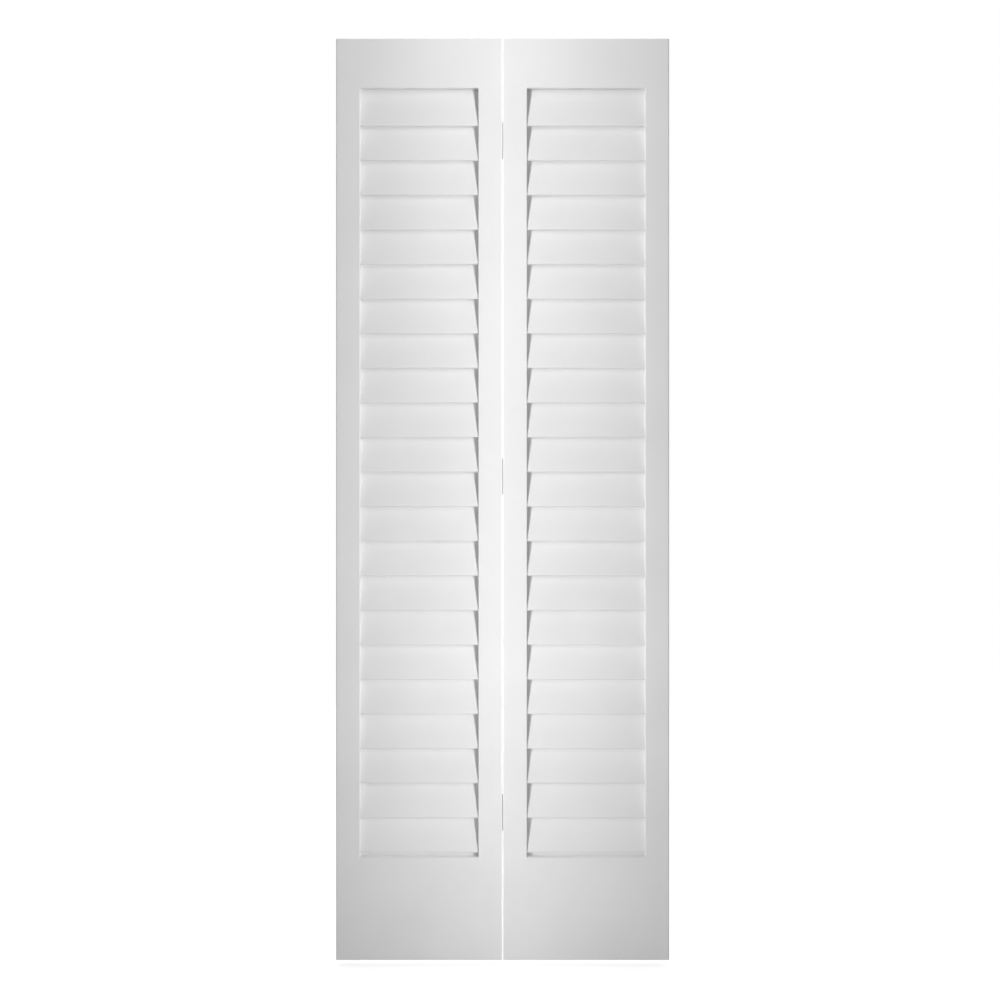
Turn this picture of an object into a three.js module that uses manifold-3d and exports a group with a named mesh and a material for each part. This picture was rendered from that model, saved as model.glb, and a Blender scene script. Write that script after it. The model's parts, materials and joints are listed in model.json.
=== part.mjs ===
// A louvred bifold closet door, closed: two leaves of stiles, rails and fixed slats, joined by three
// hinges and carried on a bottom pivot. Millimetres, +Z up. The room side faces -Y, and the origin is
// the tip of the bottom pivot pin, in the middle of the leaf's thickness.

import * as THREE from 'three';
import { mergeVertices } from 'three/addons/utils/BufferGeometryUtils.js';
import Module from 'manifold-3d';

const wasm = await Module();
wasm.setup();

// Door: its height, and the width and thickness of one leaf
const doorHeight = 2007;
const leafWidth = 362;
const leafThickness = 28.6;
const seamGap = 2;

// Stiles and rails: the three radii round the door's outer edges, the seam and the louvre opening
const stileWidth = 52;
const topRailHeight = 107;
const bottomRailHeight = 224;
const outerEdgeRadius = 3;
const seamEdgeRadius = 2.4;
const openingEdgeRadius = 1.2;
const jointGap = 0.3;

// Rail tenons: their thickness, the shoulder above and below, and the wood left beside the pivot bore
const tenonThickness = 9.5;
const tenonShoulder = 22;
const tenonWall = 3;

// The bottom rail's top is rebated: its back edge stands up, so that no light comes under the last slat
const railLipHeight = 12;
const railLipThickness = 9;

// Slats: the setback is from the leaf's two faces to the slat's edges, and sets how far it tilts
const slatCount = 22;
const slatWidth = 86;
const slatThickness = 6.4;
const slatSetback = 2.15;
const slatSeatDepth = 7;
const slatClearance = 0.3;
const topSlatLap = 1.6;
const bottomSlatGap = 9.4;

// Bottom pivot: a screwed steel pin in a flanged nylon bush, let into the foot of the jamb stile
const pivotInset = 22;
const bottomPinRadius = 4;
const bottomPinLength = 62;
const bushRadius = 7;
const bushLength = 46;
const bushFlangeRadius = 9;
const bushFlangeThickness = 1.6;

// Top pivot and guide: pins that lift out of the top edge, shown pushed down level with it. Each runs
// in a lined bore with a shallow recess round its mouth
const topPinRadius = 4.5;
const topPinLength = 40;
const guideHeadRadius = 7;
const guideHeadHeight = 9;
const mouthRecessRadius = 10;
const mouthRecessDepth = 1.2;
const pinChamfer = 0.8;
const turningClearance = 0.3;

// Hinges: two nested plates in the seam, with the barrel behind the leaves' back faces
const hingeLength = 76;
const hingeFromTop = 178;
const hingeFromBottom = 279;
const hingeLand = 20;
const hingeStrip = 6;
const hingeWindow = 35;
const hingeNestClearance = 0.6;
const hingeCornerRadius = 3;
const barrelRadius = 3.6;
const barrelClearance = 0.4;
const hingePinRadius = 1.7;
const hingePinHeadRadius = 2.8;
const hingePinHeadHeight = 1.2;
const screwHoleRadius = 2;
const screwHeadRadius = 3.3;
const screwEdgeDistance = 6.5;

// How finely round forms are divided, and how far a cutter runs past the face it cuts
const roundEdgeSteps = 3;
const turnedSteps = 24;
const screwSteps = 16;
const cutOverrun = 2;

// Leaf sizes that follow
const halfThickness = leafThickness / 2;
const seamX = leafWidth - pivotInset + seamGap / 2;
const tenonLength = stileWidth - pivotInset - bushFlangeRadius - tenonWall;
const openingWidth = leafWidth - 2 * stileWidth;
const openingHeight = doorHeight - topRailHeight - bottomRailHeight;
const railLength = openingWidth - 2 * jointGap;

// Slat sizes that follow: the slat's section is a bar with round edges, leaning back at its top
const slatHalfSpan = (slatWidth - slatThickness) / 2;
const slatTilt = Math.asin((halfThickness - slatSetback - slatThickness / 2) / slatHalfSpan);
const slatRise = 2 * slatHalfSpan * Math.cos(slatTilt) + slatThickness;
const slatLength = openingWidth + 2 * slatSeatDepth;
const topSlatZ = doorHeight - topRailHeight + topSlatLap - slatRise / 2;
const bottomSlatZ = bottomRailHeight + bottomSlatGap + slatRise / 2;
const slatPitch = (topSlatZ - bottomSlatZ) / (slatCount - 1);

// Hinge sizes that follow, about the middle of the seam
const barrelY = halfThickness + barrelClearance + barrelRadius;
const plateThickness = seamGap - 2 * jointGap;
const plateFrontY = halfThickness - hingeLand;
const halfHinge = hingeLength / 2;
const halfWindow = hingeWindow / 2;
const topHingeZ = doorHeight - hingeFromTop - halfHinge;
const bottomHingeZ = hingeFromBottom + halfHinge;

const whitePaint = new THREE.MeshStandardMaterial({ color: 0xececea, roughness: 0.45, metalness: 0 });
const zincSteel = new THREE.MeshStandardMaterial({ color: 0xb8bbbe, roughness: 0.35, metalness: 0.9 });
const whiteNylon = new THREE.MeshStandardMaterial({ color: 0xf1f0ec, roughness: 0.5, metalness: 0 });

// Turns an outline drawn as XY into the YZ plane, so that it is extruded along X
const alongX = new THREE.Matrix4().makeBasis(
  new THREE.Vector3(0, 1, 0), new THREE.Vector3(0, 0, 1), new THREE.Vector3(1, 0, 0));

// Shapes
function box(lengthX, depthY, heightZ, centreX, centreY, centreZ) {
  return new THREE.BoxGeometry(lengthX, depthY, heightZ).translate(centreX, centreY, centreZ);
}

// A turned form about the Z axis, from its profile of [radius, height] points, rising on the outside
function turned(profile, steps) {
  const points = profile.map(([radius, height]) => new THREE.Vector2(radius, height));
  return new THREE.LatheGeometry(points, steps).rotateX(Math.PI / 2);
}

function rod(radius, fromZ, toZ) {
  return turned([[0, fromZ], [radius, fromZ], [radius, toZ], [0, toZ]], turnedSteps);
}

function prismAlongZ(outline, height) {
  return new THREE.ExtrudeGeometry(outline, {
    depth: height, bevelEnabled: false, curveSegments: roundEdgeSteps,
  });
}

function prismAlongX(outline, length, centreX) {
  return prismAlongZ(outline, length).translate(0, 0, -length / 2)
    .applyMatrix4(alongX).translate(centreX, 0, 0);
}

// Solids
function solidOf(geometry) {
  geometry.deleteAttribute('normal');
  geometry.deleteAttribute('uv');
  const merged = mergeVertices(geometry);
  return new wasm.Manifold(new wasm.Mesh({
    numProp: 3,
    vertProperties: new Float32Array(merged.attributes.position.array),
    triVerts: new Uint32Array(merged.index.array),
  }));
}

function joined(...geometries) {
  return geometries.map(solidOf).reduce((whole, part) => whole.add(part));
}

function cut(solid, geometries) {
  return geometries.map(solidOf).reduce((left, cutter) => left.subtract(cutter), solid);
}

function meshOf(name, solid, material) {
  const { vertProperties, triVerts } = solid.getMesh();
  const geometry = new THREE.BufferGeometry();
  geometry.setAttribute('position', new THREE.BufferAttribute(vertProperties, 3));
  geometry.setIndex(new THREE.BufferAttribute(triVerts, 1));
  geometry.computeVertexNormals();
  const mesh = new THREE.Mesh(geometry, material);
  mesh.name = name;
  return mesh;
}

// Slats
function slatOutline(clearance) {
  const radius = slatThickness / 2 + clearance;
  const endY = slatHalfSpan * Math.sin(slatTilt);
  const endZ = slatHalfSpan * Math.cos(slatTilt);
  const upward = Math.PI / 2 - slatTilt;
  const outline = new THREE.Shape();
  outline.absarc(endY, endZ, radius, upward - Math.PI / 2, upward + Math.PI / 2);
  outline.absarc(-endY, -endZ, radius, upward + Math.PI / 2, upward + Math.PI * 3 / 2);
  return outline;
}

function slatBar() {
  return prismAlongX(slatOutline(0), slatLength, 0);
}

function slatHeight(index) {
  return topSlatZ - index * slatPitch;
}

// Stiles, about their own middle: edgeSide is 1 where the leaf's edge is towards +X, else -1
function stileBlank(edgeSide, edgeRadius) {
  const halfWidth = stileWidth / 2;
  const arcX = halfWidth - edgeRadius;
  const arcY = halfThickness - edgeRadius;
  const outline = new THREE.Shape();
  outline.moveTo(-halfWidth, -halfThickness);
  outline.lineTo(arcX, -halfThickness);
  outline.absarc(arcX, -arcY, edgeRadius, -Math.PI / 2, 0);
  outline.absarc(arcX, arcY, edgeRadius, 0, Math.PI / 2);
  outline.lineTo(-halfWidth, halfThickness);
  const blank = prismAlongZ(outline, doorHeight);
  return edgeSide > 0 ? blank : blank.rotateZ(Math.PI);
}

// A mortise cutter goes into the stile's inner face, which is the one away from the leaf's edge
function mortiseSpan(edgeSide, depth) {
  return { length: depth + cutOverrun, centre: edgeSide * (depth - cutOverrun - stileWidth) / 2 };
}

function slatMortise(edgeSide, index) {
  const { length, centre } = mortiseSpan(edgeSide, slatSeatDepth + slatClearance);
  return prismAlongX(slatOutline(slatClearance), length, centre).translate(0, 0, slatHeight(index));
}

function tenonMortise(edgeSide, railHeight, railCentreZ) {
  const { length, centre } = mortiseSpan(edgeSide, tenonLength + jointGap);
  const height = railHeight - 2 * tenonShoulder + 2 * jointGap;
  return box(length, tenonThickness + 2 * jointGap, height, centre, 0, railCentreZ);
}

// What rounding takes off a stile's arris along the louvre opening: faceSide is -1 at the front
function openingArris(edgeSide, faceSide) {
  const radius = openingEdgeRadius;
  const corner = new THREE.Shape();
  corner.moveTo(-cutOverrun, -cutOverrun);
  corner.lineTo(radius, -cutOverrun);
  corner.absarc(radius, radius, radius, -Math.PI / 2, -Math.PI, true);
  corner.lineTo(-cutOverrun, radius);
  const turnedCorner = corner.getPoints(roundEdgeSteps).map((point) => new THREE.Vector2(
    edgeSide * (point.x - stileWidth / 2), faceSide * (halfThickness - point.y)));
  return prismAlongZ(new THREE.Shape(turnedCorner), openingHeight).translate(0, 0, bottomRailHeight);
}

function stile(name, edgeSide, edgeRadius, bores) {
  const slatMortises = [];
  for (let index = 0; index < slatCount; index += 1) {
    slatMortises.push(slatMortise(edgeSide, index));
  }
  const pivotX = edgeSide * (stileWidth / 2 - pivotInset);
  const wood = cut(solidOf(stileBlank(edgeSide, edgeRadius)), [
    tenonMortise(edgeSide, topRailHeight, doorHeight - topRailHeight / 2),
    tenonMortise(edgeSide, bottomRailHeight, bottomRailHeight / 2),
    openingArris(edgeSide, -1),
    openingArris(edgeSide, 1),
    ...slatMortises,
    ...bores.map((bore) => bore.translate(pivotX, 0, 0)),
  ]);
  return meshOf(name, wood, whitePaint);
}

// Rails, with a stub tenon at each end: openingSide is 1 where the louvres are above, else -1
function rail(railHeight, openingSide) {
  const centreZ = railHeight / 2;
  const squareZ = centreZ * (1 - openingSide);
  const openingZ = centreZ * (1 + openingSide);
  const corner = new THREE.Vector2(halfThickness, openingZ);
  const outline = new THREE.Shape();
  outline.moveTo(-halfThickness, squareZ);
  outline.lineTo(halfThickness, squareZ);
  outline.lineTo(halfThickness, openingZ - openingSide * openingEdgeRadius);
  outline.quadraticCurveTo(corner.x, corner.y, halfThickness - openingEdgeRadius, openingZ);
  outline.lineTo(openingEdgeRadius - halfThickness, openingZ);
  outline.quadraticCurveTo(-corner.x, corner.y, -halfThickness, openingZ - openingSide * openingEdgeRadius);
  const tenons = box(railLength + 2 * tenonLength, tenonThickness, railHeight - 2 * tenonShoulder,
    0, 0, centreZ);
  return joined(prismAlongX(outline, railLength, 0), tenons);
}

function bottomRail(name) {
  const lip = box(railLength, railLipThickness, railLipHeight + cutOverrun,
    0, halfThickness - railLipThickness / 2, bottomRailHeight + (railLipHeight - cutOverrun) / 2);
  return meshOf(name, rail(bottomRailHeight, 1).add(solidOf(lip)), whitePaint);
}

// The top slat is let up into the rail above it, and the two are one piece
function topRailWithSlat(name) {
  const slat = solidOf(slatBar().translate(0, 0, topSlatLap - slatRise / 2));
  const mesh = meshOf(name, rail(topRailHeight, -1).add(slat), whitePaint);
  mesh.position.z = doorHeight - topRailHeight;
  return mesh;
}

// One leaf about its own middle: edgeSide is the side of its outer edge
function leaf(prefix, outerStileName, edgeSide, outerBores) {
  const stileOffset = edgeSide * (leafWidth - stileWidth) / 2;
  const outerStile = stile(`${prefix}_${outerStileName}`, edgeSide, outerEdgeRadius, outerBores);
  outerStile.position.x = stileOffset;
  const hingeStile = stile(`${prefix}_hinge_stile`, -edgeSide, seamEdgeRadius, []);
  hingeStile.position.x = -stileOffset;
  const group = new THREE.Group();
  group.add(outerStile, hingeStile, topRailWithSlat(`${prefix}_top_rail`), bottomRail(`${prefix}_bottom_rail`));
  for (let index = 1; index < slatCount; index += 1) {
    const number = String(index + 1).padStart(2, '0');
    const slat = meshOf(`${prefix}_slat_${number}`, solidOf(slatBar()), whitePaint);
    slat.position.z = slatHeight(index);
    group.add(slat);
  }
  return group;
}

// Bottom pivot
function bottomPivotBore() {
  return [
    rod(bushFlangeRadius + turningClearance, -cutOverrun, bushFlangeThickness + turningClearance),
    rod(bushRadius + turningClearance, -cutOverrun, bushLength + turningClearance),
    rod(bottomPinRadius + turningClearance, -cutOverrun, bottomPinLength + turningClearance),
  ];
}

function pin(radius, length) {
  return turned([
    [0, 0], [radius - pinChamfer, 0], [radius, pinChamfer],
    [radius, length - pinChamfer], [radius - pinChamfer, length], [0, length],
  ], turnedSteps);
}

function bottomPivotPin() {
  return meshOf('bottom_pivot_pin', solidOf(pin(bottomPinRadius, bottomPinLength)), zincSteel);
}

function bottomPivotBush() {
  const boreRadius = bottomPinRadius + turningClearance;
  const ring = turned([
    [boreRadius, 0], [bushFlangeRadius, 0], [bushFlangeRadius, bushFlangeThickness],
    [bushRadius, bushFlangeThickness], [bushRadius, bushLength], [boreRadius, bushLength],
    [boreRadius, 0],
  ], turnedSteps);
  return meshOf('bottom_pivot_bush', solidOf(ring), whiteNylon);
}

// Top pivot and guide
function topBore(headRadius, headHeight) {
  const mouth = doorHeight + cutOverrun;
  return [
    rod(topPinRadius + turningClearance, doorHeight - topPinLength - turningClearance, mouth),
    rod(headRadius + turningClearance, doorHeight - headHeight - turningClearance, mouth),
    rod(mouthRecessRadius, doorHeight - mouthRecessDepth, mouth),
  ];
}

function topPivotPin() {
  const mesh = meshOf('top_pivot_pin', solidOf(pin(topPinRadius, topPinLength)), zincSteel);
  mesh.position.z = doorHeight - topPinLength;
  return mesh;
}

// The guide pin has a wider head, which runs in the groove of a track
function guidePin() {
  const neckZ = topPinLength - guideHeadHeight;
  const profile = [
    [0, 0], [topPinRadius - pinChamfer, 0], [topPinRadius, pinChamfer], [topPinRadius, neckZ],
    [guideHeadRadius, neckZ], [guideHeadRadius, topPinLength - pinChamfer],
    [guideHeadRadius - pinChamfer, topPinLength], [0, topPinLength],
  ];
  const mesh = meshOf('guide_pin', solidOf(turned(profile, turnedSteps)), whiteNylon);
  mesh.position.set(2 * seamX, 0, doorHeight - topPinLength);
  return mesh;
}

// Hinges, about their own middle height: a plate runs from its front edge back to the barrel
function plate(frontY, halfLength) {
  const arcY = frontY + hingeCornerRadius;
  const arcZ = halfLength - hingeCornerRadius;
  const outline = new THREE.Shape();
  outline.moveTo(barrelY, halfLength);
  outline.lineTo(arcY, halfLength);
  outline.absarc(arcY, arcZ, hingeCornerRadius, Math.PI / 2, Math.PI);
  outline.absarc(arcY, -arcZ, hingeCornerRadius, Math.PI, Math.PI * 3 / 2);
  outline.lineTo(barrelY, -halfLength);
  return prismAlongX(outline, plateThickness, 0);
}

function barrelRod(radius, fromZ, toZ) {
  return rod(radius, fromZ, toZ).translate(0, barrelY, 0);
}

// A countersunk hole through a plate: its wide end is on the headSide of X
function screwHole(headSide, y, z) {
  const half = plateThickness / 2;
  const coneDepth = screwHeadRadius - screwHoleRadius;
  const profile = [
    [0, -half - cutOverrun], [screwHoleRadius, -half - cutOverrun], [screwHoleRadius, half - coneDepth],
    [screwHeadRadius, half], [screwHeadRadius, half + cutOverrun], [0, half + cutOverrun],
  ];
  return turned(profile, screwSteps).rotateY(headSide * Math.PI / 2).translate(0, y, z);
}

// The outer plate is cut away round the inner one, and its two knuckles hold the pin
function outerHingeLeaf() {
  const windowFrontY = plateFrontY + hingeStrip;
  const windowDepth = barrelY + barrelRadius + cutOverrun - windowFrontY;
  const window = box(plateThickness + 2 * cutOverrun, windowDepth, hingeWindow,
    0, windowFrontY + windowDepth / 2, 0);
  const headEnd = halfHinge + hingePinHeadHeight;
  const metal = cut(solidOf(plate(plateFrontY, halfHinge)), [window]).add(joined(
    barrelRod(hingePinRadius, -headEnd, headEnd),
    barrelRod(barrelRadius, halfWindow, halfHinge),
    barrelRod(barrelRadius, -halfHinge, -halfWindow),
    barrelRod(hingePinHeadRadius, halfHinge - hingePinHeadHeight, headEnd),
    barrelRod(hingePinHeadRadius, -headEnd, hingePinHeadHeight - halfHinge),
  ));
  const innerScrewZ = halfWindow + screwHeadRadius + hingePinHeadHeight;
  return cut(metal, [-1, 1].flatMap((end) => [
    screwHole(1, plateFrontY + screwEdgeDistance, end * (halfHinge - screwEdgeDistance)),
    screwHole(1, halfThickness - screwEdgeDistance, end * innerScrewZ),
  ]));
}

function innerHingeLeaf() {
  const halfLength = halfWindow - hingeNestClearance;
  const frontY = plateFrontY + hingeStrip + hingeNestClearance;
  const metal = joined(plate(frontY, halfLength), barrelRod(barrelRadius, -halfLength, halfLength));
  return cut(metal, [
    barrelRod(hingePinRadius + turningClearance, -halfHinge, halfHinge),
    ...[-1, 1].map((end) => screwHole(-1, halfThickness - screwEdgeDistance, end * halfLength / 2)),
  ]);
}

function hinge(place, middleZ) {
  const group = new THREE.Group();
  group.add(meshOf(`${place}_hinge_outer_leaf`, outerHingeLeaf(), zincSteel));
  group.add(meshOf(`${place}_hinge_inner_leaf`, innerHingeLeaf(), zincSteel));
  group.position.set(seamX, 0, middleZ);
  return group;
}

// The door
const pivotLeaf = leaf('pivot_leaf', 'jamb_stile', -1, [...bottomPivotBore(), ...topBore(topPinRadius, 0)]);
pivotLeaf.position.x = leafWidth / 2 - pivotInset;
const leadLeaf = leaf('lead_leaf', 'guide_stile', 1, topBore(guideHeadRadius, guideHeadHeight));
leadLeaf.position.x = pivotLeaf.position.x + leafWidth + seamGap;

const door = new THREE.Group();
door.add(pivotLeaf, leadLeaf);
door.add(hinge('top', topHingeZ));
door.add(hinge('middle', (topHingeZ + bottomHingeZ) / 2));
door.add(hinge('bottom', bottomHingeZ));
door.add(bottomPivotPin(), bottomPivotBush(), topPivotPin(), guidePin());

export default door;
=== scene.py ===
# %% [markdown]
# # A louvred bifold closet door
# Two painted leaves hang side by side, joined by hinges hidden behind the seam. Each leaf is a frame
# of two stiles and two rails round a bank of sloping slats. The measured model is loaded first as a
# fixed frame, and every cell after that dresses one family of its pieces. All lengths are in metres,
# +Z is up and the room side faces -Y.

import json
import math
import random

import bmesh
import bpy
from mathutils import Matrix, Vector

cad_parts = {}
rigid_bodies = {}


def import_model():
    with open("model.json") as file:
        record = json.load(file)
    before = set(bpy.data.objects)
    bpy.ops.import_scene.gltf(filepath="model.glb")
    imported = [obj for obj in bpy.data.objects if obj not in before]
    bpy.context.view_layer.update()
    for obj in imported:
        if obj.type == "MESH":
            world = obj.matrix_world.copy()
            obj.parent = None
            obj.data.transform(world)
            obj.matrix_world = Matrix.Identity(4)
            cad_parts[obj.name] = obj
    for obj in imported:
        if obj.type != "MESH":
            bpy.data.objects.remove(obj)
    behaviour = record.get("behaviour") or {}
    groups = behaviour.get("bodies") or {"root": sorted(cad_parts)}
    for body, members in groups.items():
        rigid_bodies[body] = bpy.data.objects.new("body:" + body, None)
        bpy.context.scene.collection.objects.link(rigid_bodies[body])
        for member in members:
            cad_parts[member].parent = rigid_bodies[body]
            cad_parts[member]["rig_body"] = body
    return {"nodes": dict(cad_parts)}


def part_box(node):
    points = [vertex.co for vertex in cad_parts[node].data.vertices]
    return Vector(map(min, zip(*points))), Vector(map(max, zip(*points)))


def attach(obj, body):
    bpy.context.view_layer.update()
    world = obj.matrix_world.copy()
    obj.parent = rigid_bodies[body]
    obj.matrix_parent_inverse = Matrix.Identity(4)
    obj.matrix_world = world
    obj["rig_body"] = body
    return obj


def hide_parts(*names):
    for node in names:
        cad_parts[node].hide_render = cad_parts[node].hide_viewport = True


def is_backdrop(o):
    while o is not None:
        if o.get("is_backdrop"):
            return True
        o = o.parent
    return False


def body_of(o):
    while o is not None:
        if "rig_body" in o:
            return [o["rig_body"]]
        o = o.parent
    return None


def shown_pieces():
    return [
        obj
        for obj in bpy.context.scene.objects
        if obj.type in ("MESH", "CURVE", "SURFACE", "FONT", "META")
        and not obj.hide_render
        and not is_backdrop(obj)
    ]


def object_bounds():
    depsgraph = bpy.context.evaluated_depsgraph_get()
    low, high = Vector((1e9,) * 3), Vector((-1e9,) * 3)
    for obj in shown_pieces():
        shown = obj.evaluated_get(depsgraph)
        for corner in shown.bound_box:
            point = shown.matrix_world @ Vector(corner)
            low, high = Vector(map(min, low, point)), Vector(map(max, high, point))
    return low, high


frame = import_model()
cad_low, cad_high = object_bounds()
print("measured box", [round(v, 4) for v in cad_low], [round(v, 4) for v in cad_high])

# %% [markdown]
# ## Small helpers for nodes
# A procedural finish is a chain of texture nodes. The chain could be wired by hand each time, but the
# same three links come back in every finish: coordinates in metres, a noise stretched along the
# grain, and bumps added one on another. Naming them once keeps each finish short and readable.

# %% Node helpers
FULL = 1.0
WHITE = (1.0, 1.0, 1.0, 1.0)
EVEN_GRAIN = (1.0, 1.0, 1.0)
NOISE_LOW_SHARE = 0.3
NOISE_HIGH_SHARE = 0.7


def new_material(name):
    material = bpy.data.materials.new(name)
    material.use_nodes = True
    nodes = material.node_tree.nodes
    return material, nodes, material.node_tree.links, nodes["Principled BSDF"]


def stretched_noise(nodes, links, scale, detail, grain=EVEN_GRAIN):
    """Noise, scale features to the metre. A grain below 1 on an axis draws it out along that axis."""
    place = nodes.new("ShaderNodeTexCoord")
    mapping = nodes.new("ShaderNodeMapping")
    mapping.inputs["Scale"].default_value = [scale * share for share in grain]
    noise = nodes.new("ShaderNodeTexNoise")
    noise.inputs["Scale"].default_value = FULL
    noise.inputs["Detail"].default_value = detail
    links.new(place.outputs["Object"], mapping.inputs["Vector"])
    links.new(mapping.outputs["Vector"], noise.inputs["Vector"])
    return noise.outputs["Fac"]


def spread(nodes, links, value, low, high):
    """Maps the middle of a noise's range to the range from low to high."""
    ramp = nodes.new("ShaderNodeMapRange")
    ramp.inputs["From Min"].default_value = NOISE_LOW_SHARE
    ramp.inputs["From Max"].default_value = NOISE_HIGH_SHARE
    ramp.inputs["To Min"].default_value = low
    ramp.inputs["To Max"].default_value = high
    links.new(value, ramp.inputs["Value"])
    return ramp.outputs["Result"]


def tinted(nodes, links, value, dark, light):
    """A colour between dark and light, led by a noise."""
    ramp = nodes.new("ShaderNodeValToRGB")
    ramp.color_ramp.elements[0].position = NOISE_LOW_SHARE
    ramp.color_ramp.elements[0].color = (*dark, FULL)
    ramp.color_ramp.elements[1].position = NOISE_HIGH_SHARE
    ramp.color_ramp.elements[1].color = (*light, FULL)
    links.new(value, ramp.inputs["Fac"])
    return ramp.outputs["Color"]


def bumped(nodes, links, heights):
    """Stacks (value, depth in metres) pairs into one bumped normal."""
    normal = None
    for value, depth in heights:
        bump = nodes.new("ShaderNodeBump")
        bump.inputs["Strength"].default_value = FULL
        bump.inputs["Distance"].default_value = depth
        links.new(value, bump.inputs["Height"])
        if normal is not None:
            links.new(normal, bump.inputs["Normal"])
        normal = bump.outputs["Normal"]
    return normal


# %% [markdown]
# ## White satin paint
# The leaves are sprayed and brushed with satin white. Close to, such paint has a faint orange peel
# about 3 mm across, and fine brush lines that follow the board: up the stiles, along the rails and
# slats. Its gloss wanders a little where the film is thicker. A flat white would look like plastic, so
# one slow noise leads the colour and the roughness, and three finer ones make the bump. Scales are in
# features to the metre, and depths in metres.

# %% White paint, along either grain
PAINT_DARK = (0.82, 0.82, 0.82)
PAINT_LIGHT = (0.865, 0.865, 0.863)
PAINT_ROUGHNESS = (0.50, 0.62)
PAINT_SPECULAR = 0.40
FILM_SCALE = 4.0
PEEL_SCALE = 330.0
PEEL_DEPTH = 0.00003
BRUSH_SCALE = 900.0
BRUSH_DEPTH = 0.00004
BOARD_SCALE = 120.0
BOARD_DEPTH = 0.00006
BROAD_DETAIL = 3.0
FINE_DETAIL = 2.0
GRAIN_DETAIL = 4.0


def white_paint(name, grain):
    material, nodes, links, shader = new_material(name)
    film = stretched_noise(nodes, links, FILM_SCALE, BROAD_DETAIL)
    peel = stretched_noise(nodes, links, PEEL_SCALE, FINE_DETAIL)
    brush = stretched_noise(nodes, links, BRUSH_SCALE, FINE_DETAIL, grain)
    board = stretched_noise(nodes, links, BOARD_SCALE, GRAIN_DETAIL, grain)
    links.new(tinted(nodes, links, film, PAINT_DARK, PAINT_LIGHT), shader.inputs["Base Color"])
    links.new(spread(nodes, links, film, *PAINT_ROUGHNESS), shader.inputs["Roughness"])
    normal = bumped(nodes, links, [(board, BOARD_DEPTH), (peel, PEEL_DEPTH), (brush, BRUSH_DEPTH)])
    links.new(normal, shader.inputs["Normal"])
    shader.inputs["Specular IOR Level"].default_value = PAINT_SPECULAR
    return material


GRAIN_STRETCH_SHARE = 0.02
ALONG_Z = (1.0, 1.0, GRAIN_STRETCH_SHARE)
ALONG_X = (GRAIN_STRETCH_SHARE, 1.0, 1.0)
paint_up = white_paint("white_paint_stiles", ALONG_Z)
paint_across = white_paint("white_paint_rails_and_slats", ALONG_X)
print("paint", paint_up.name, paint_across.name)

# %% [markdown]
# ## Zinc-plated steel
# The hinges, screws and steel pins are zinc plated. Zinc is a soft grey with a faint blue and straw
# bloom, and the strip it is stamped from keeps fine rolling lines. It is a metal, so its colour lives
# in the reflection, and the lines are a noise drawn out along the height.

# %% Zinc plate
ZINC_BLUE = (0.50, 0.53, 0.56)
ZINC_STRAW = (0.66, 0.65, 0.61)
ZINC_ROUGHNESS = (0.28, 0.46)
BLOOM_SCALE = 140.0
ROLLING_SCALE = 2600.0
ROLLING_STRETCH = (1.0, 1.0, 0.04)
GRIT_SCALE = 1500.0
ZINC_DEPTH = 0.00001


def zinc_plate():
    material, nodes, links, shader = new_material("zinc_plate")
    bloom = stretched_noise(nodes, links, BLOOM_SCALE, BROAD_DETAIL)
    rolling = stretched_noise(nodes, links, ROLLING_SCALE, FINE_DETAIL, ROLLING_STRETCH)
    grit = stretched_noise(nodes, links, GRIT_SCALE, BROAD_DETAIL)
    links.new(tinted(nodes, links, bloom, ZINC_BLUE, ZINC_STRAW), shader.inputs["Base Color"])
    links.new(spread(nodes, links, grit, *ZINC_ROUGHNESS), shader.inputs["Roughness"])
    links.new(bumped(nodes, links, [(rolling, ZINC_DEPTH), (grit, ZINC_DEPTH)]), shader.inputs["Normal"])
    shader.inputs["Metallic"].default_value = FULL
    return material


zinc = zinc_plate()
print("metal", zinc.name)

# %% [markdown]
# ## Moulded nylon
# The bush, the guide pin and the two sleeves are white nylon. It is a little warmer than the paint,
# with the fine matt grain of the mould, so it gets a fine bump and no brush lines.

# %% Nylon
NYLON_DARK = (0.82, 0.82, 0.80)
NYLON_LIGHT = (0.87, 0.87, 0.85)
NYLON_ROUGHNESS = (0.48, 0.62)
CLOUD_SCALE = 90.0
MOULD_SCALE = 2200.0
MOULD_DEPTH = 0.00002


def white_nylon():
    material, nodes, links, shader = new_material("white_nylon")
    cloud = stretched_noise(nodes, links, CLOUD_SCALE, FINE_DETAIL)
    mould = stretched_noise(nodes, links, MOULD_SCALE, FINE_DETAIL)
    links.new(tinted(nodes, links, cloud, NYLON_DARK, NYLON_LIGHT), shader.inputs["Base Color"])
    links.new(spread(nodes, links, mould, *NYLON_ROUGHNESS), shader.inputs["Roughness"])
    links.new(bumped(nodes, links, [(mould, MOULD_DEPTH)]), shader.inputs["Normal"])
    return material


nylon = white_nylon()
print("plastic", nylon.name)

# %% [markdown]
# ## From a bmesh to a piece
# Every piece below ends the same way: its mesh becomes an object at the origin, it takes a finish, it
# rides on one of the door's moving bodies, and it may stand for a measured node. Edges sharper than a
# set angle stay crisp and the rest are shaded smooth, so a rounded arris reads as round. A Weighted
# Normal modifier lets the broad faces decide that shading, so they look flat right up to each arris.

# %% Piece helpers
SMOOTH_BELOW = math.radians(38)
CUBE_SIZE = 1.0
CIRCULAR_PROFILE = 0.5
TOUCHING = 0.00001
X_AXIS = 0
Z_AXIS = 2


def shade(mesh):
    mesh.polygons.foreach_set("use_smooth", [True] * len(mesh.polygons))
    mesh.set_sharp_from_angle(angle=SMOOTH_BELOW)


def flat_faces_lead(made):
    weighted = made.modifiers.new("flat faces lead", "WEIGHTED_NORMAL")
    weighted.keep_sharp = True


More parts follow.
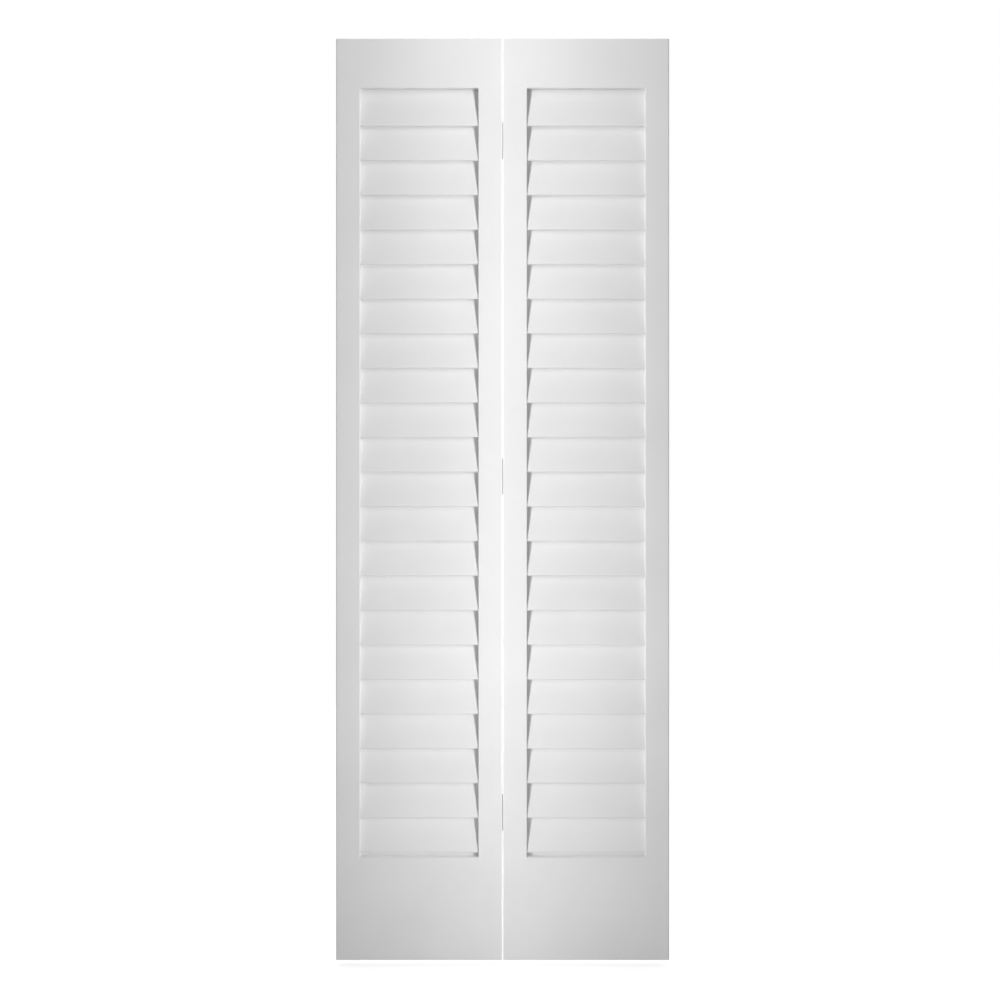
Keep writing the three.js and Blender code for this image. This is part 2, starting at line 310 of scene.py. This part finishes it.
def piece(name, bm, body, material, node=None):
    """Makes a bmesh one piece of the door, which stands for a measured node if one is named."""
    mesh = bpy.data.meshes.new(name)
    bm.to_mesh(mesh)
    bm.free()
    mesh.materials.append(material)
    shade(mesh)
    made = bpy.data.objects.new(name, mesh)
    bpy.context.scene.collection.objects.link(made)
    flat_faces_lead(made)
    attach(made, body)
    if node:
        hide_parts(node)
    return made


def block(low, high):
    """A bmesh box between two corners, from a cube of one metre."""
    bm = bmesh.new()
    bmesh.ops.create_cube(bm, size=CUBE_SIZE)
    bmesh.ops.scale(bm, vec=(high - low) / CUBE_SIZE, verts=bm.verts)
    bmesh.ops.translate(bm, vec=(low + high) / 2, verts=bm.verts)
    return bm


def round_over(bm, edges, radius, segments):
    """Rounds edges with a bevel, or chamfers them where there is one segment."""
    bmesh.ops.bevel(bm, geom=edges, offset=radius, segments=segments, profile=CIRCULAR_PROFILE,
                    affect="EDGES", material=-1, clamp_overlap=True)


def runs_along(edge, axis):
    start, end = (vert.co for vert in edge.verts)
    return abs(abs((end - start).normalized()[axis]) - 1.0) < TOUCHING


# %% [markdown]
# ## Stiles
# A stile is the long upright board at each side of a leaf, with a slanted blind mortise for the end
# of every slat. Its measured mesh already has the mortises, the bores and the rounded arrises, but as
# loose triangles. A copy is merged into one skin, which keeps each cut exactly where the slats need
# it, while rebuilding 88 mortises by hand would risk moving one. Triangles that lie in one plane are
# dissolved into one face.

# %% Stiles
MERGE_DISTANCE = 0.000001
SAME_PLANE = math.radians(0.2)
STILES = {
    "pivot_leaf_jamb_stile": "pivot_leaf",
    "pivot_leaf_hinge_stile": "pivot_leaf",
    "lead_leaf_hinge_stile": "lead_leaf",
    "lead_leaf_guide_stile": "lead_leaf",
}


def merged_copy(node):
    bm = bmesh.new()
    bm.from_mesh(frame["nodes"][node].data)
    bmesh.ops.remove_doubles(bm, verts=bm.verts, dist=MERGE_DISTANCE)
    bmesh.ops.dissolve_limit(bm, angle_limit=SAME_PLANE, verts=bm.verts, edges=bm.edges)
    return bm


for stile, body in STILES.items():
    piece(stile + "_painted", merged_copy(stile), body, paint_up, stile)
print("stiles", len(STILES))

# %% [markdown]
# ## Scoring and pulling
# On the bench a board is sawn square, a line is scored on it, and wood is taken off beside the line.
# A mesh can be worked in the same order, except that here the scored patch is moved: bisect_plane
# scores the faces that are picked, and an extrusion pulls the patch out or pushes it in. Only the
# picked faces are cut, so the rest of the block stays whole.

# %% Scoring and pulling
FACING_SHARE = 0.9


def once_each(items):
    """The items without repeats and in their first order, which a set would lose."""
    return list(dict.fromkeys(items))


def scored(bm, picked, cuts):
    """Cuts the faces that picked chooses along planes, each given as a point and a normal."""
    for point, normal in cuts:
        faces = [face for face in bm.faces if picked(face)]
        edges = once_each(edge for face in faces for edge in face.edges)
        verts = once_each(vert for face in faces for vert in face.verts)
        bmesh.ops.bisect_plane(bm, geom=faces + edges + verts, plane_co=point, plane_no=normal)


def pulled(bm, picked, way):
    """Draws the faces that picked chooses out of the surface, or into it, along way."""
    faces = [face for face in bm.faces if picked(face)]
    drawn = bmesh.ops.extrude_face_region(bm, geom=faces)["geom"]
    bmesh.ops.delete(bm, geom=faces, context="FACES")
    bmesh.ops.translate(bm, vec=way, verts=[item for item in drawn if isinstance(item, bmesh.types.BMVert)])


def facing(face, axis, side):
    return face.normal[axis] * side > FACING_SHARE


# %% [markdown]
# ## Rails
# A rail closes the leaf at its top or bottom, and a stub tenon at each end goes into the stile. Each
# tenon is pulled out of the scored end of a block, as a patch between its two cheeks and two ends.
# The bottom rail's back edge is pulled up in the same way into a low lip, which shuts out the light
# under the last slat. The shoulders get a hairline chamfer, because that is all that shows of a
# painted joint.

# %% One rail
TENON_THICKNESS = 0.0095
TENON_SHOULDER = 0.022
LIP_THICKNESS = 0.009
RAIL_ARRIS = 0.0012
RAIL_ARRIS_SEGMENTS = 5
JOINT_ARRIS = 0.0001


def add_lip(bm, corner, height):
    """Pulls the back of a rail's top edge up into a low lip."""
    lip_front = corner.y - LIP_THICKNESS
    scored(bm, lambda face: facing(face, Z_AXIS, 1), [((0, lip_front, 0), (0, 1, 0))])
    pulled(bm, lambda face: facing(face, Z_AXIS, 1) and face.calc_center_median().y > lip_front,
           (0, 0, height))
    bmesh.ops.dissolve_limit(bm, angle_limit=SAME_PLANE, verts=bm.verts, edges=bm.edges)


def add_tenon(bm, side, length, foot, head):
    """Pulls a stub tenon out of one end of a rail."""
    half = TENON_THICKNESS / 2
    cheeks = [((0, y, 0), (0, 1, 0)) for y in (-half, half)]
    ends = [((0, 0, z), (0, 0, 1)) for z in (foot, head)]
    scored(bm, lambda face: facing(face, X_AXIS, side), cheeks + ends)
    pulled(bm, lambda face: facing(face, X_AXIS, side) and abs(face.calc_center_median().y) < half
           and foot < face.calc_center_median().z < head, (side * length, 0, 0))


def rail_bmesh(low, high, outer_z, tenon_length, lip_height=0.0):
    """A rail between two corners, rounded along its length except at outer_z, the leaf's own end."""
    bm = block(low, high)
    if lip_height:
        add_lip(bm, high, lip_height)
    bm.normal_update()
    arrises = [edge for edge in bm.edges if runs_along(edge, X_AXIS) and edge.is_convex
               and abs(edge.verts[0].co.z - outer_z) > TOUCHING]
    round_over(bm, arrises, RAIL_ARRIS, RAIL_ARRIS_SEGMENTS)
    shoulder_faces = [face for face in bm.faces if facing(face, X_AXIS, -1) or facing(face, X_AXIS, 1)]
    shoulders = once_each(edge for face in shoulder_faces for edge in face.edges)
    round_over(bm, shoulders, JOINT_ARRIS, 1)
    for side in (-1, 1):
        add_tenon(bm, side, tenon_length, low.z + TENON_SHOULDER, high.z - TENON_SHOULDER)
    return bm


# %% Rails of both leaves
LEAVES = ("pivot_leaf", "lead_leaf")
TOP_RAIL_HEIGHT = 0.107
BOTTOM_RAIL_HEIGHT = 0.224


def opening_span(leaf):
    """The louvre opening between a leaf's two stiles, along X."""
    boxes = [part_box(stile) for stile in STILES if stile.startswith(leaf)]
    left_stile, right_stile = sorted(boxes, key=lambda box: box[0].x)
    return left_stile[1].x, right_stile[0].x


front_y, back_y = (corner.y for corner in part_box("pivot_leaf_hinge_stile"))
top_rail_foot = cad_high.z - TOP_RAIL_HEIGHT
lip_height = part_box("pivot_leaf_bottom_rail")[1].z - BOTTOM_RAIL_HEIGHT
for leaf in LEAVES:
    left, right = opening_span(leaf)
    tenon_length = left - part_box(leaf + "_bottom_rail")[0].x
    rails = {
        leaf + "_bottom_rail": rail_bmesh(
            Vector((left, front_y, cad_low.z)), Vector((right, back_y, BOTTOM_RAIL_HEIGHT)),
            cad_low.z, tenon_length, lip_height),
        leaf + "_top_rail": rail_bmesh(
            Vector((left, front_y, top_rail_foot)), Vector((right, back_y, cad_high.z)),
            cad_high.z, tenon_length),
    }
    for rail, bm in rails.items():
        piece(rail + "_painted", bm, leaf, paint_across, rail)
    print(leaf, "opening", round(right - left, 4), "wide, tenons", round(tenon_length, 4), "long")

# %% [markdown]
# ## Slats
# A slat is a thin board with fully rounded long edges, leaning back at the top. One is made from a
# block whose four long edges are bevelled by nearly half its thickness, which turns each narrow side
# into a half round, and the two rows of points that almost meet along its crest are merged. It is
# then leaned over and set at its own height. The measured slat's depth gives the lean, so the two
# can't drift apart. No two slats of a real door sit quite alike, so each is turned by up to a
# twentieth of a degree, well within its mortise.

# %% Slats
SLAT_WIDTH = 0.086
SLAT_THICKNESS = 0.0064
SLAT_ROUND_SEGMENTS = 7
SLAT_ROUND_SHARE = 0.499
SLAT_CREST_MERGE = 0.00002
SLAT_PLAY = math.radians(0.05)
SLAT_COUNT = 22
SLAT_SEED = 22
slat_low, slat_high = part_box("pivot_leaf_slat_02")
slat_depth = slat_high.y - slat_low.y
slat_lean = math.asin((slat_depth - SLAT_THICKNESS) / (SLAT_WIDTH - SLAT_THICKNESS))
slat_pitch = slat_low.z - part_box("pivot_leaf_slat_03")[0].z
slat_top_middle = (slat_low.z + slat_high.z) / 2 + slat_pitch
draw = random.Random(SLAT_SEED)


def slat_bmesh(left, right, middle_z):
    """A slat with round edges, leaning back about its middle."""
    half = Vector(((right - left) / 2, SLAT_THICKNESS / 2, SLAT_WIDTH / 2))
    bm = block(-half, half)
    long_edges = [edge for edge in bm.edges if runs_along(edge, X_AXIS)]
    round_over(bm, long_edges, SLAT_THICKNESS * SLAT_ROUND_SHARE, SLAT_ROUND_SEGMENTS)
    bmesh.ops.remove_doubles(bm, verts=bm.verts, dist=SLAT_CREST_MERGE)
    lean = Matrix.Rotation(-slat_lean + draw.uniform(-SLAT_PLAY, SLAT_PLAY), 3, "X")
    bmesh.ops.rotate(bm, cent=(0, 0, 0), matrix=lean, verts=bm.verts)
    bmesh.ops.translate(bm, vec=((left + right) / 2, 0, middle_z), verts=bm.verts)
    return bm


for leaf in LEAVES:
    left, right = (corner.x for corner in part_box(leaf + "_slat_02"))
    for index in range(SLAT_COUNT):
        node = f"{leaf}_slat_{index + 1:02d}"
        bm = slat_bmesh(left, right, slat_top_middle - index * slat_pitch)
        piece(node + "_painted", bm, leaf, paint_across, node if index else None)
print("slats lean", round(math.degrees(slat_lean), 2), "pitch", round(slat_pitch, 5))

# %% [markdown]
# ## Hinge plates
# Each hinge is two stamped plates that nest in the seam, with the barrel behind the door. Their
# measured meshes have the window, the countersinks and the barrel, so copies are merged, and a fine
# live bevel breaks their sheared edges.

# %% Hinges
EDGE_BREAK = 0.00015
EDGE_BREAK_SEGMENTS = 2


def broken_edges(made):
    """Adds the bevel and moves it to the front, so that the normals are weighted after it."""
    bevel = made.modifiers.new("broken edges", "BEVEL")
    made.modifiers.move(len(made.modifiers) - 1, 0)
    bevel.width = EDGE_BREAK
    bevel.segments = EDGE_BREAK_SEGMENTS
    bevel.limit_method = "ANGLE"
    bevel.angle_limit = SMOOTH_BELOW
    return made


def metal_copy(node, body):
    return broken_edges(piece(node + "_plated", merged_copy(node), body, zinc, node))


HINGES = ("top", "middle", "bottom")
for hinge in HINGES:
    metal_copy(f"{hinge}_hinge_outer_leaf", "pivot_leaf")
    metal_copy(f"{hinge}_hinge_inner_leaf", "lead_leaf")
print("hinge plates", 2 * len(HINGES))

# %% [markdown]
# ## Hinge screws
# Every plate is held by small countersunk screws with a cross recess. A screw is turned, so half its
# section is drawn from the head's rim to the point and spun round. Four cuts with a plane each way
# mark out the cross on the flat of the head, and its faces are pushed in to make the recess. One
# screw is made, along Z, and its mesh is then laid in each countersink.

# %% One screw
SCREW_HEAD_RADIUS = 0.0031
SCREW_SHANK_RADIUS = 0.0016
SCREW_HEAD_SINK = 0.00015
SCREW_LENGTH = 0.016
SCREW_POINT = 0.004
RECESS_REACH = 0.0019
RECESS_HALF_WIDTH = 0.0005
RECESS_DEPTH = 0.0012
SCREW_SEGMENTS = 24


def spun(profile, segments):
    """Spins a profile of (radius, height) points once round Z and closes its ends."""
    bm = bmesh.new()
    verts = [bm.verts.new((radius, 0, height)) for radius, height in profile]
    edges = [bm.edges.new(pair) for pair in zip(verts, verts[1:])]
    bmesh.ops.spin(bm, geom=verts + edges, axis=(0, 0, 1), cent=(0, 0, 0), angle=math.tau,
                   steps=segments, use_merge=True)
    bmesh.ops.remove_doubles(bm, verts=bm.verts, dist=MERGE_DISTANCE)
    bmesh.ops.holes_fill(bm, edges=[edge for edge in bm.edges if edge.is_boundary])
    bmesh.ops.recalc_face_normals(bm, faces=bm.faces)
    return bm


def in_cross(point):
    across, along = sorted((abs(point.x), abs(point.y)))
    return across < RECESS_HALF_WIDTH and along < RECESS_REACH


def screw_bmesh():
    cone = SCREW_HEAD_RADIUS - SCREW_SHANK_RADIUS
    bm = spun([
        (SCREW_HEAD_RADIUS, 0), (SCREW_SHANK_RADIUS, -cone),
        (SCREW_SHANK_RADIUS, SCREW_POINT - SCREW_LENGTH), (0, -SCREW_LENGTH),
    ], SCREW_SEGMENTS)
    offsets = (-RECESS_REACH, -RECESS_HALF_WIDTH, RECESS_HALF_WIDTH, RECESS_REACH)
    scored(bm, lambda face: facing(face, Z_AXIS, 1),
           [(Vector(axis) * offset, axis) for axis in ((1, 0, 0), (0, 1, 0)) for offset in offsets])
    pulled(bm, lambda face: facing(face, Z_AXIS, 1) and in_cross(face.calc_center_median()),
           (0, 0, -RECESS_DEPTH))
    bmesh.ops.recalc_face_normals(bm, faces=bm.faces)
    return bm


screw = bpy.data.meshes.new("screw")
one_screw = screw_bmesh()
one_screw.to_mesh(screw)
one_screw.free()
print("one screw", len(screw.polygons), "faces")

# %% [markdown]
# ## The screws in their countersinks
# The holes' places follow from each plate's measured box and from the leaf's back face. The outer
# plate's box also holds the heads of its pin, which stand a little past both ends of the plate. The
# screws through the outer plate go into the pivot leaf, so their heads face +X, and the inner plate's
# go the other way. Nobody leaves every cross at the same angle, so each screw gets its own turn.

# %% Screws
SCREW_EDGE_DISTANCE = 0.0065
PIN_HEAD_HEIGHT = 0.0012
BESIDE_WINDOW_HEIGHT = 0.0220
INNER_HOLE_SHARE = 0.25
SCREW_SEED = 18
turns = random.Random(SCREW_SEED)


def outer_holes(low, high):
    """Places, as y and height off the middle, near the plate's corners and beside its window."""
    corner_height = (high.z - low.z) / 2 - PIN_HEAD_HEIGHT - SCREW_EDGE_DISTANCE
    return [
        (low.y + SCREW_EDGE_DISTANCE, corner_height),
        (back_y - SCREW_EDGE_DISTANCE, BESIDE_WINDOW_HEIGHT),
    ]


def inner_holes(low, high):
    """Places halfway from the plate's middle to its ends."""
    return [(back_y - SCREW_EDGE_DISTANCE, (high.z - low.z) * INNER_HOLE_SHARE)]


def plate_face_x(node, head_side):
    """The face of the plate that its screw heads are let into, well in front of the barrel."""
    faces = [vert.co.x for vert in frame["nodes"][node].data.vertices if vert.co.y < back_y]
    return max(faces) if head_side > 0 else min(faces)


def add_screws(hinge, part, body, head_side, holes):
    """The screws of one hinge plate as one piece, each a copy of the one screw."""
    low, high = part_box(f"{hinge}_hinge_{part}_leaf")
    middle_z = (low.z + high.z) / 2
    plate_x = plate_face_x(f"{hinge}_hinge_{part}_leaf", head_side)
    bm = bmesh.new()
    for y, z in holes(low, high):
        for end in (-1, 1):
            turned_home = Matrix.Rotation(turns.uniform(0, math.pi), 4, "Z")
            laid_over = Matrix.Rotation(head_side * math.pi / 2, 4, "Y")
            place = Matrix.Translation((plate_x - head_side * SCREW_HEAD_SINK, y, middle_z + end * z))
            placed = screw.copy()
            placed.transform(place @ laid_over @ turned_home)
            bm.from_mesh(placed)
            bpy.data.meshes.remove(placed)
    piece(f"{hinge}_hinge_{part}_screws", bm, body, zinc)


for hinge in HINGES:
    add_screws(hinge, "outer", "pivot_leaf", 1, outer_holes)
    add_screws(hinge, "inner", "lead_leaf", -1, inner_holes)
print("screws in", 2 * len(HINGES), "plates")

# %% [markdown]
# ## Bottom pivot
# The pin under the jamb stile is a screwed rod, so that the door can be set to its height. A screw
# thread is a small tooth carried round and up by one pitch a turn. Spin does that when it is also
# given a step along the axis. The core is a plain turned rod, and the thread is wound on to it.

# %% Threaded pin
THREAD_PITCH = 0.0014
THREAD_DEPTH = 0.0006
THREAD_STEPS = 20
CORE_SEGMENTS = 40
THREAD_SINK = 0.0001
CREST_START_SHARE = 0.40
CREST_END_SHARE = 0.52
TOOTH_END_SHARE = 0.92
PIN_CHAMFER = 0.0008


def threaded_pin_bmesh(node):
    """A core with chamfered ends and a thread wound round it, as wide and long as the node."""
    low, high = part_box(node)
    centre = (low + high) / 2
    radius = (high.x - low.x) / 2
    length = high.z - low.z
    core = radius - THREAD_DEPTH
    end_radius = core - PIN_CHAMFER / 2
    bm = spun([(0, 0), (end_radius, 0), (core, PIN_CHAMFER), (core, length - PIN_CHAMFER),
               (end_radius, length), (0, length)], CORE_SEGMENTS)
    tooth = [bm.verts.new(place) for place in (
        (core - THREAD_SINK, 0, PIN_CHAMFER),
        (radius, 0, PIN_CHAMFER + THREAD_PITCH * CREST_START_SHARE),
        (radius, 0, PIN_CHAMFER + THREAD_PITCH * CREST_END_SHARE),
        (core - THREAD_SINK, 0, PIN_CHAMFER + THREAD_PITCH * TOOTH_END_SHARE),
    )]
    face = bm.faces.new(tooth)
    turns_made = int((length - 2 * PIN_CHAMFER) / THREAD_PITCH) - 1
    steps = turns_made * THREAD_STEPS
    bmesh.ops.spin(bm, geom=[face], axis=(0, 0, 1), cent=(0, 0, 0), dvec=(0, 0, THREAD_PITCH / THREAD_STEPS),
                   angle=math.tau * turns_made, steps=steps)
    bmesh.ops.recalc_face_normals(bm, faces=bm.faces)
    bmesh.ops.translate(bm, vec=(centre.x, centre.y, low.z), verts=bm.verts)
    return bm


piece("bottom_pivot_threaded_pin", threaded_pin_bmesh("bottom_pivot_pin"), "bottom_pivot", zinc,
      "bottom_pivot_pin")

# %% [markdown]
# ## Bush and upper pins
# The bush and the two spring pins are turned or moulded round. Their measured forms are right and
# only want their edges broken, so they are merged copies with the same live bevel as the hinges.

# %% Bush and pins
def nylon_copy(node, body):
    return broken_edges(piece(node + "_moulded", merged_copy(node), body, nylon, node))


turned = [
    nylon_copy("bottom_pivot_bush", "pivot_bush"),
    nylon_copy("guide_pin", "guide"),
    metal_copy("top_pivot_pin", "top_pivot"),
]
print("bush and pins", [made.name for made in turned])

# %% [markdown]
# ## Sleeve flanges
# Each upper pin slides in a nylon sleeve, whose flange shows as a flat ring round the bore's mouth. A
# ring could be cut from a disc, but a small section spun once round also gives it chamfered rims.

# %% Sleeve flanges
FLANGE_RADIUS = 0.0097
FLANGE_THICKNESS = 0.0010
FLANGE_EDGE = 0.0003
FLANGE_SEGMENTS = 48
SLEEVE_CLEARANCE = 0.0003
MOUTH_RECESS_DEPTH = 0.0012


def flange_bmesh(pin):
    """The flange of the sleeve round a pin, sunk into the mouth of its bore."""
    low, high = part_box(pin)
    centre = (low + high) / 2
    bore = (high.x - low.x) / 2 + SLEEVE_CLEARANCE
    foot = high.z - MOUTH_RECESS_DEPTH
    edge_z = FLANGE_THICKNESS - FLANGE_EDGE
    bm = spun([(bore, 0), (FLANGE_RADIUS, 0), (FLANGE_RADIUS, edge_z),
               (FLANGE_RADIUS - FLANGE_EDGE, FLANGE_THICKNESS), (bore + FLANGE_EDGE, FLANGE_THICKNESS),
               (bore, edge_z), (bore, 0)], FLANGE_SEGMENTS)
    bmesh.ops.translate(bm, vec=(centre.x, centre.y, foot), verts=bm.verts)
    return bm


piece("top_pivot_sleeve_flange", flange_bmesh("top_pivot_pin"), "pivot_leaf", nylon)
piece("guide_sleeve_flange", flange_bmesh("guide_pin"), "lead_leaf", nylon)

# %% [markdown]
# ## Floor
# The floor is pale and matt and lies a finger's width under the door, as a bifold door hangs. It
# throws some light up on to the foot of the door. To the camera it also glows a little, just enough
# to run into the white ground and keep a faint shadow under the door.

# %% Floor
FLOOR_DROP = 0.012
FLOOR_HALF = 5.0
FLOOR_GLOW = 0.58
FLOOR_DARK = (0.62, 0.62, 0.62)
FLOOR_LIGHT = (0.66, 0.66, 0.66)
FLOOR_ROUGHNESS = 0.8
FLOOR_CLOUD_SCALE = 2.0
seam_x = (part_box("pivot_leaf_hinge_stile")[1].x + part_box("lead_leaf_hinge_stile")[0].x) / 2


def pale_floor():
    material, nodes, links, shader = new_material("pale_floor")
    cloud = stretched_noise(nodes, links, FLOOR_CLOUD_SCALE, FINE_DETAIL)
    links.new(tinted(nodes, links, cloud, FLOOR_DARK, FLOOR_LIGHT), shader.inputs["Base Color"])
    shader.inputs["Roughness"].default_value = FLOOR_ROUGHNESS
    shader.inputs["Emission Color"].default_value = WHITE
    glow = nodes.new("ShaderNodeMath")
    glow.operation = "MULTIPLY"
    glow.inputs[1].default_value = FLOOR_GLOW
    path = nodes.new("ShaderNodeLightPath")
    links.new(path.outputs["Is Camera Ray"], glow.inputs[0])
    links.new(glow.outputs["Value"], shader.inputs["Emission Strength"])
    return material


floor_bm = bmesh.new()
bmesh.ops.create_grid(floor_bm, x_segments=1, y_segments=1, size=FLOOR_HALF)
bmesh.ops.translate(floor_bm, vec=(seam_x, 0, cad_low.z - FLOOR_DROP), verts=floor_bm.verts)
floor_mesh = bpy.data.meshes.new("floor")
floor_bm.to_mesh(floor_mesh)
floor_bm.free()
floor_mesh.materials.append(pale_floor())
floor = bpy.data.objects.new("floor", floor_mesh)
bpy.context.scene.collection.objects.link(floor)
floor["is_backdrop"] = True
print("floor at", round(cad_low.z - FLOOR_DROP, 4))

# %% [markdown]
# ## Surroundings
# The surroundings are a pale studio, bright behind the door and dim in front, so that the edges and
# the gaps between slats catch light from behind. The light fades from one to the other over a band of
# about 30 degrees at each side. The camera and every reflection see plain white.

# %% World
FRONT_LIGHT = 0.26
BACK_LIGHT = 1.0
WHITE_STRENGTH = 1.0
FADE_HALF_WIDTH = 0.25


def seen_white(nodes, links):
    """1 for rays from the camera, from a mirror or through glass, else 0."""
    path = nodes.new("ShaderNodeLightPath")
    total = path.outputs["Is Camera Ray"]
    for ray in ("Is Glossy Ray", "Is Transmission Ray"):
        either = nodes.new("ShaderNodeMath")
        either.operation = "MAXIMUM"
        links.new(total, either.inputs[0])
        links.new(path.outputs[ray], either.inputs[1])
        total = either.outputs["Value"]
    return total


def front_to_back(nodes, links):
    """The strength of the light from each direction, dim from the front and bright from behind."""
    direction = nodes.new("ShaderNodeTexCoord")
    split = nodes.new("ShaderNodeSeparateXYZ")
    links.new(direction.outputs["Generated"], split.inputs["Vector"])
    fade = nodes.new("ShaderNodeMapRange")
    fade.interpolation_type = "SMOOTHSTEP"
    fade.inputs["From Min"].default_value = -FADE_HALF_WIDTH
    fade.inputs["From Max"].default_value = FADE_HALF_WIDTH
    fade.inputs["To Min"].default_value = FRONT_LIGHT
    fade.inputs["To Max"].default_value = BACK_LIGHT
    links.new(split.outputs["Y"], fade.inputs["Value"])
    return fade.outputs["Result"]


def studio():
    world = bpy.data.worlds.new("studio")
    world.use_nodes = True
    nodes, links = world.node_tree.nodes, world.node_tree.links
    strength = nodes.new("ShaderNodeMapRange")
    strength.inputs["To Max"].default_value = WHITE_STRENGTH
    links.new(seen_white(nodes, links), strength.inputs["Value"])
    links.new(front_to_back(nodes, links), strength.inputs["To Min"])
    background = nodes["Background"]
    links.new(strength.outputs["Result"], background.inputs["Strength"])
    background.inputs["Color"].default_value = WHITE
    return world


bpy.context.scene.world = studio()
print("light from the front", FRONT_LIGHT, "and from behind", BACK_LIGHT)

# %% [markdown]
# ## Softboxes
# Each half of the picture is lit as the mirror of the other: bright beside the seam and softer at
# the outer stiles, with a thin wedge of shadow where each slat runs into the stile beside the seam.
# A tall, narrow softbox on the far side of the seam does that, and light linking keeps each one to
# its own leaf. One lamp in the middle couldn't, because it would stand square to the seam and cast
# no wedge. A folded leaf comes within half a metre of its lamp. A Light Falloff node therefore lets
# the lamp fade only slowly with distance, and the beam is aimed at the seam, so that its edge does
# the fading at the outer stile.

# %% Softboxes
SOFTBOX_WIDTH = 0.14
SOFTBOX_HEIGHT = 2.7
SOFTBOX_POWER = 5.75
SOFTBOX_SPREAD = math.radians(90)
SOFTBOX_PLACE = Vector((0.40, -0.74, 1.35))


def softbox(name, side, leaf):
    """A tall strip lamp on one side of the seam, which lights only the leaf on the other side."""
    lamp = bpy.data.lights.new(name, "AREA")
    lamp.shape = "RECTANGLE"
    lamp.size = SOFTBOX_WIDTH
    lamp.size_y = SOFTBOX_HEIGHT
    lamp.energy = SOFTBOX_POWER
    lamp.spread = SOFTBOX_SPREAD
    lamp.use_nodes = True
    falloff = lamp.node_tree.nodes.new("ShaderNodeLightFalloff")
    falloff.inputs["Strength"].default_value = FULL
    lamp.node_tree.links.new(falloff.outputs["Linear"], lamp.node_tree.nodes["Emission"].inputs["Strength"])
    made = bpy.data.objects.new(name, lamp)
    bpy.context.scene.collection.objects.link(made)
    place = Vector((seam_x + side * SOFTBOX_PLACE.x, SOFTBOX_PLACE.y, SOFTBOX_PLACE.z))
    aim = Vector((seam_x, 0.0, SOFTBOX_PLACE.z))
    made.location = place
    made.rotation_euler = (aim - place).to_track_quat("-Z", "Y").to_euler()
    made.visible_camera = False
    lit = bpy.data.collections.new("lit_by_" + name)
    lit.objects.link(floor)
    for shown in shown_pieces():
        if leaf in (body_of(shown) or ()):
            lit.objects.link(shown)
    made.light_linking.receiver_collection = lit
    return made


softbox("right_softbox", 1, "pivot_leaf")
softbox("left_softbox", -1, "lead_leaf")

# %% [markdown]
# ## Camera
# The picture is square on, level with the middle of the door, and its edges run parallel, so the
# camera stands well back with a longish lens. The scale of the picture sets the lens: the door is
# 921 pixels high in a frame of 1000, and its middle lies a little off the frame's. Blender gives the
# sensor and the lens in millimetres.

# %% Camera
CAMERA_DISTANCE = 4.0
FRAME_PIXELS = 1000.0
DOOR_PIXELS = 921.3
DOOR_MIDDLE_PIXEL = (502.66, 499.43)
SENSOR_WIDTH = 36.0
LEVEL = math.radians(90)
door_height = cad_high.z - cad_low.z
metres_per_pixel = door_height / DOOR_PIXELS
camera_data = bpy.data.cameras.new("camera")
camera_data.sensor_width = SENSOR_WIDTH
camera_data.lens = SENSOR_WIDTH * CAMERA_DISTANCE / (FRAME_PIXELS * metres_per_pixel)
camera = bpy.data.objects.new("camera", camera_data)
bpy.context.scene.collection.objects.link(camera)
middle = FRAME_PIXELS / 2
camera.location = (
    seam_x - (DOOR_MIDDLE_PIXEL[0] - middle) * metres_per_pixel,
    front_y - CAMERA_DISTANCE,
    (cad_low.z + cad_high.z) / 2 - (middle - DOOR_MIDDLE_PIXEL[1]) * metres_per_pixel,
)
camera.rotation_euler = (LEVEL, 0, 0)
bpy.context.scene.camera = camera
bpy.context.scene.view_settings.view_transform = "Standard"
print("lens", round(camera_data.lens, 1), "mm")
